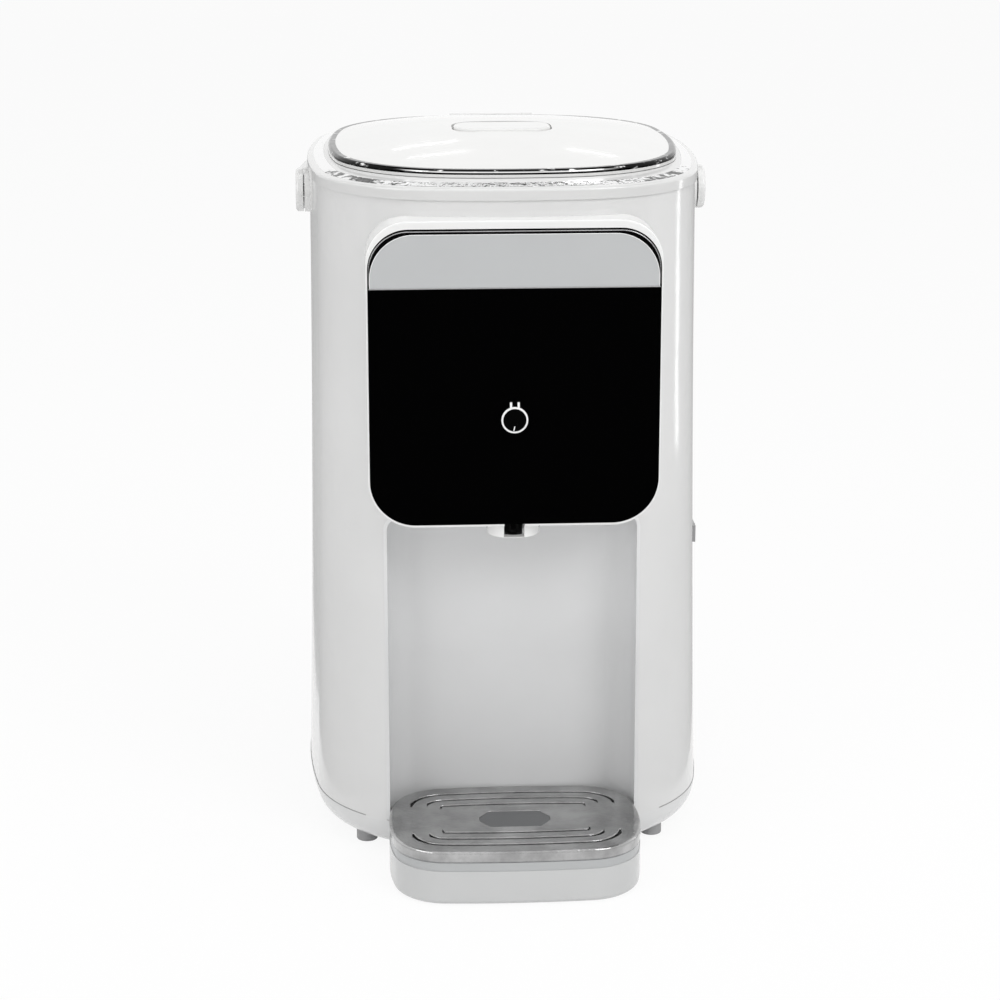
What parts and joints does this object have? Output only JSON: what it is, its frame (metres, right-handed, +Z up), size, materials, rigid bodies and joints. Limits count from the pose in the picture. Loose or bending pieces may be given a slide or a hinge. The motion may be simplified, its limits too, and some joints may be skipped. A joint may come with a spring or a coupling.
{
  "type": "countertop syrup dispenser",
  "caption": "Countertop fructose syrup dispenser: oval tank body with hinged lid, black glass front panel with push button, spout over a drip tray, and a fold-down carry handle.",
  "frame": {"origin": "on the counter, under the centre of the whole footprint: the drip tray's front edge and the folded carry handle's grip are equally far from it", "axes": "+Z up; -Y out of the front, where the panel and drip tray are; +X to the right of someone facing the front"},
  "size_m": [0.2526, 0.3574, 0.4299],
  "materials": {
    "shell_gloss": "glossy off-white enamel look",
    "collar_gloss": "glossy warm white",
    "base_plastic": "semi-gloss pale grey",
    "alcove_plastic": "satin cool grey-white",
    "chrome_trim": "mirror",
    "band_silver": "satin silver",
    "black_glass": "high-gloss black",
    "button_metal": "satin",
    "pad_dark": "matte dark grey",
    "lever_gloss": "glossy warm white",
    "black_plastic": "satin black",
    "handle_plastic": "semi-gloss pale grey",
    "foot_rubber": "matte",
    "seal_silicone": "matte translucent white",
    "hose_silicone": "matte translucent white",
    "tank_steel": "brushed stainless",
    "fitting_plastic": "matte natural plastic",
    "bracket_steel": "zinc plated",
    "hinge_paint": "white enamel",
    "screw_steel": "bright steel",
    "motor_metal": "satin grey",
    "support_plastic": "matte dark grey",
    "board_green": "solder-mask green"
  },
  "bodies": {
    "housing": {"outer_shell": "shell_gloss", "top_collar": "collar_gloss", "collar_inlay": "chrome_trim", "base_cover": "base_plastic", "rubber_feet": "foot_rubber", "base_screws": "screw_steel", "panel_bezel": "shell_gloss", "panel_trim": "chrome_trim", "upper_band": "band_silver", "glass_panel": "black_glass", "button_ring": "chrome_trim", "button_spring": "screw_steel", "tact_switch": "black_plastic", "board_posts": "support_plastic", "control_board": "board_green", "alcove_panel": "alcove_plastic", "spout_shroud": "alcove_plastic", "spout_guard": "black_plastic", "nozzle": "black_plastic", "syrup_tank": "tank_steel", "tank_outlet": "fitting_plastic", "outlet_strainer": "tank_steel", "suction_hose": "hose_silicone", "delivery_hose": "hose_silicone", "pump_body": "fitting_plastic", "pump_cover": "fitting_plastic", "pump_screws": "screw_steel", "pump_bracket": "bracket_steel", "gear_motor": "motor_metal", "motor_saddle": "support_plastic", "power_supply": "black_plastic", "power_inlet": "black_plastic", "inlet_pins": "screw_steel", "switch_frame": "black_plastic", "handle_pivots": "handle_plastic", "hinge_bracket": "hinge_paint", "hinge_pin": "screw_steel"},
    "lid": {"lid_cover": "collar_gloss", "lid_trim_ring": "chrome_trim", "lid_liner": "tank_steel", "lid_gasket": "seal_silicone", "hinge_leaf": "hinge_paint", "lid_screws": "screw_steel", "lever_pin": "screw_steel", "lever_spring": "screw_steel"},
    "lever": {"lid_lever": "lever_gloss"},
    "carry_handle": {"handle_bail": "handle_plastic", "handle_grip": "black_plastic"},
    "drip_tray": {"tray_body": "base_plastic", "tray_rim": "band_silver"},
    "grille": {"drip_grille": "chrome_trim", "grille_pad": "pad_dark"},
    "button": {"dispense_button": "button_metal"},
    "rocker": {"power_rocker": "black_plastic"},
    "pump_rotor": {"drive_gear": "fitting_plastic", "drive_shaft": "screw_steel", "shaft_coupling": "motor_metal"},
    "pump_idler": {"idler_gear": "fitting_plastic", "idler_shaft": "screw_steel"}
  },
  "joints": [
    {"name": "lid_hinge", "type": "hinge", "parent": "housing", "child": "lid", "pos_m": [0, 0.14245, 0.4155], "axis": [-1, 0, 0], "range_deg": [0, 95]},
    {"name": "lever_pivot", "type": "hinge", "parent": "lid", "child": "lever", "pos_m": [0, 0.02465, 0.4226], "axis": [-1, 0, 0], "range_deg": [0, 60], "stiffness_Nm_per_rad": 0.02, "springref_deg": -20.05},
    {"name": "handle_swing", "type": "hinge", "parent": "housing", "child": "carry_handle", "pos_m": [0, 0.02645, 0.389], "axis": [1, 0, 0], "range_deg": [0, 130]},
    {"name": "tray_slide", "type": "slide", "parent": "housing", "child": "drip_tray", "axis": [0, -1, 0], "range_m": [0, 0.11]},
    {"name": "grille_lift", "type": "slide", "parent": "drip_tray", "child": "grille", "axis": [0, 0, 1], "range_m": [0, 0.03]},
    {"name": "button_press", "type": "slide", "parent": "housing", "child": "button", "axis": [0, 1, 0], "range_m": [0, 0.0015], "stiffness_N_per_m": 600, "springref_m": -0.001, "deforming": ["button_spring"]},
    {"name": "rocker_tilt", "type": "hinge", "parent": "housing", "child": "rocker", "pos_m": [0.11762, -0.00755, 0.1755], "axis": [0, 0, 1], "range_deg": [0, 20]},
    {"name": "rotor_spin", "type": "hinge", "parent": "housing", "child": "pump_rotor", "pos_m": [0, -0.01955, 0.056], "axis": [0, 1, 0], "continuous": true},
    {"name": "idler_spin", "type": "hinge", "parent": "housing", "child": "pump_idler", "pos_m": [0, -0.01955, 0.074], "axis": [0, 1, 0], "continuous": true}
  ],
  "couplings": [
    {"joint": "idler_spin", "follows": "rotor_spin", "ratio": -1}
  ]
}
